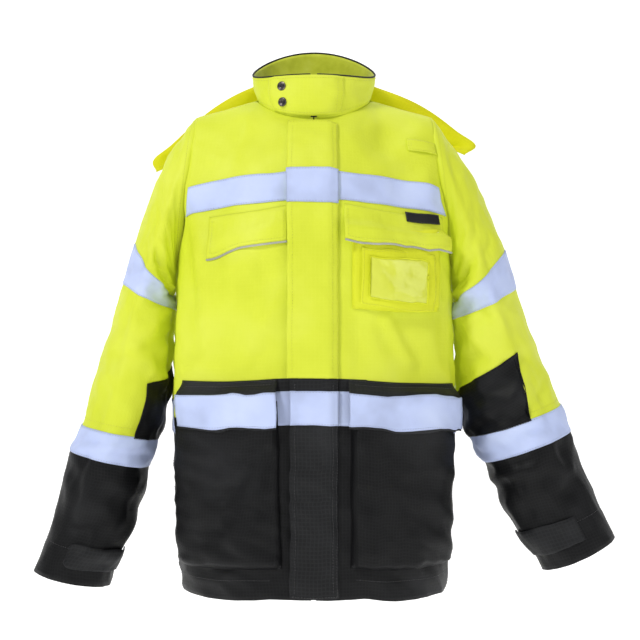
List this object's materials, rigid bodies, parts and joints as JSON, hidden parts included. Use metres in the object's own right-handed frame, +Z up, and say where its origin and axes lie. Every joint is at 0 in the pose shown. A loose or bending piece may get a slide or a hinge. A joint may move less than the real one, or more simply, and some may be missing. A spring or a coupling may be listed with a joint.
{
  "type": "high-visibility work coat",
  "caption": "Hip-length waterproof work coat with stand collar, hood, storm flap over a zip, reflective bands, flap pockets and strapped cuffs.",
  "frame": {"origin": "seat of the coat on the neck, midway between the inner ends of the shoulder seams", "axes": "+X to the wearer's left, -Y out of the front, +Z up"},
  "size_m": [0.917, 0.4014, 0.86],
  "materials": {
    "hi_vis_fabric": "matte coated weave",
    "black_fabric": "matte ripstop weave",
    "lining_fabric": "satin taffeta",
    "collar_fleece": "matte fleece",
    "reflective_tape": "satin glass-bead tape",
    "reflective_piping": "satin",
    "webbing": "matte woven",
    "hook_and_loop": "matte brushed",
    "snap_metal": "gunmetal",
    "zip_plastic": "semi-gloss",
    "window_film": "clear vinyl over bright fabric",
    "blank_patch": "matte woven"
  },
  "bodies": {
    "coat_body": {"front_upper_right": "hi_vis_fabric", "front_upper_left": "hi_vis_fabric", "front_lower_right": "black_fabric", "front_lower_left": "black_fabric", "back_upper": "hi_vis_fabric", "back_lower": "black_fabric", "body_lining": "lining_fabric", "collar_shell": "hi_vis_fabric", "collar_lining": "collar_fleece", "collar_snap_studs": "snap_metal", "hang_loop": "webbing", "zip_tapes": "webbing", "zip_teeth": "zip_plastic", "zip_stop_box": "zip_plastic", "storm_flap_loops": "hook_and_loop", "chest_tape_right": "reflective_tape", "chest_tape_left": "reflective_tape", "back_tape": "reflective_tape", "waist_tape": "reflective_tape", "chest_pocket_left": "hi_vis_fabric", "name_patch": "blank_patch", "mic_tab": "hi_vis_fabric", "lower_pocket_right": "black_fabric", "lower_pocket_left": "black_fabric", "sleeve_cap_right": "hi_vis_fabric", "sleeve_cap_left": "hi_vis_fabric"},
    "sleeve_left": {"sleeve_upper_left": "hi_vis_fabric", "sleeve_lower_left": "black_fabric", "elbow_gusset_left": "black_fabric", "sleeve_tapes_left": "reflective_tape", "sleeve_lining_left": "lining_fabric", "cuff_loop_left": "hook_and_loop"},
    "sleeve_right": {"sleeve_upper_right": "hi_vis_fabric", "sleeve_lower_right": "black_fabric", "elbow_gusset_right": "black_fabric", "sleeve_tapes_right": "reflective_tape", "sleeve_lining_right": "lining_fabric", "cuff_loop_right": "hook_and_loop"},
    "cuff_tab_left": {"cuff_tab_left": "black_fabric"},
    "cuff_tab_right": {"cuff_tab_right": "black_fabric"},
    "hood": {"hood_shell": "hi_vis_fabric", "hood_lining": "collar_fleece"},
    "storm_flap": {"storm_flap_upper": "hi_vis_fabric", "storm_flap_lower": "black_fabric", "storm_flap_tapes": "reflective_tape", "storm_flap_hooks": "hook_and_loop"},
    "collar_tab": {"collar_tab": "hi_vis_fabric", "collar_snap_caps": "snap_metal"},
    "chest_flap_right": {"chest_flap_right": "hi_vis_fabric", "chest_piping_right": "reflective_piping"},
    "chest_flap_left": {"chest_flap_left": "hi_vis_fabric", "chest_piping_left": "reflective_piping"},
    "window_holder": {"window_holder": "hi_vis_fabric", "window_pane": "window_film"},
    "lower_flap_right": {"lower_flap_right": "black_fabric", "lower_flap_tape_right": "reflective_tape"},
    "lower_flap_left": {"lower_flap_left": "black_fabric", "lower_flap_tape_left": "reflective_tape"},
    "zip_slider": {"zip_slider": "zip_plastic"},
    "zip_pull": {"zip_pull": "zip_plastic"}
  },
  "joints": [
    {"name": "sleeve_left_swing", "type": "hinge", "parent": "coat_body", "child": "sleeve_left", "pos_m": [0.279, 0.009, -0.1625], "axis": [0, -1, 0], "range_deg": [0, 20]},
    {"name": "sleeve_right_swing", "type": "hinge", "parent": "coat_body", "child": "sleeve_right", "pos_m": [-0.2648, 0.006, -0.156], "axis": [0, 1, 0], "range_deg": [0, 20]},
    {"name": "hood_lift", "type": "hinge", "parent": "coat_body", "child": "hood", "pos_m": [0, 0.098, 0.044], "axis": [1, 0, 0], "range_deg": [0, 100]},
    {"name": "storm_flap_open", "type": "hinge", "parent": "coat_body", "child": "storm_flap", "pos_m": [0.036, -0.1732, -0.4], "axis": [0, 0, 1], "range_deg": [0, 90]},
    {"name": "collar_tab_open", "type": "hinge", "parent": "coat_body", "child": "collar_tab", "pos_m": [0.0455, -0.096, -0.01], "axis": [0, 0, 1], "range_deg": [0, 90]},
    {"name": "chest_flap_right_lift", "type": "hinge", "parent": "coat_body", "child": "chest_flap_right", "pos_m": [-0.1049, -0.1406, -0.2008], "axis": [-0.9449, 0.3177, -0.0786], "range_deg": [0, 130]},
    {"name": "chest_flap_left_lift", "type": "hinge", "parent": "coat_body", "child": "chest_flap_left", "pos_m": [0.1327, -0.1416, -0.2008], "axis": [-0.913, -0.4046, 0.0516], "range_deg": [0, 130]},
    {"name": "window_holder_lift", "type": "hinge", "parent": "coat_body", "child": "window_holder", "pos_m": [0.1303, -0.1427, -0.2444], "axis": [-0.9222, -0.3754, 0.0924], "range_deg": [0, 60]},
    {"name": "lower_flap_right_lift", "type": "hinge", "parent": "coat_body", "child": "lower_flap_right", "pos_m": [-0.1349, -0.1536, -0.437], "axis": [-0.9303, 0.3668, 0], "range_deg": [0, 120]},
    {"name": "lower_flap_left_lift", "type": "hinge", "parent": "coat_body", "child": "lower_flap_left", "pos_m": [0.1529, -0.1466, -0.437], "axis": [-0.8823, -0.4707, 0], "range_deg": [0, 120]},
    {"name": "zip_slide", "type": "slide", "parent": "coat_body", "child": "zip_slider", "axis": [0, -0.0268, -0.9996], "range_m": [0, 0.513]},
    {"name": "zip_pull_swing", "type": "hinge", "parent": "zip_slider", "child": "zip_pull", "pos_m": [0, -0.1527, -0.208], "axis": [0, -1, 0], "range_deg": [-25, 25]},
    {"name": "cuff_tab_left_open", "type": "hinge", "parent": "sleeve_left", "child": "cuff_tab_left", "pos_m": [0.4122, -0.088, -0.6711], "axis": [-0.4281, 0.0827, 0.8999], "range_deg": [0, 80]},
    {"name": "cuff_tab_right_open", "type": "hinge", "parent": "sleeve_right", "child": "cuff_tab_right", "pos_m": [-0.3825, -0.0905, -0.7114], "axis": [-0.3026, -0.0747, -0.9502], "range_deg": [0, 80]}
  ]
}
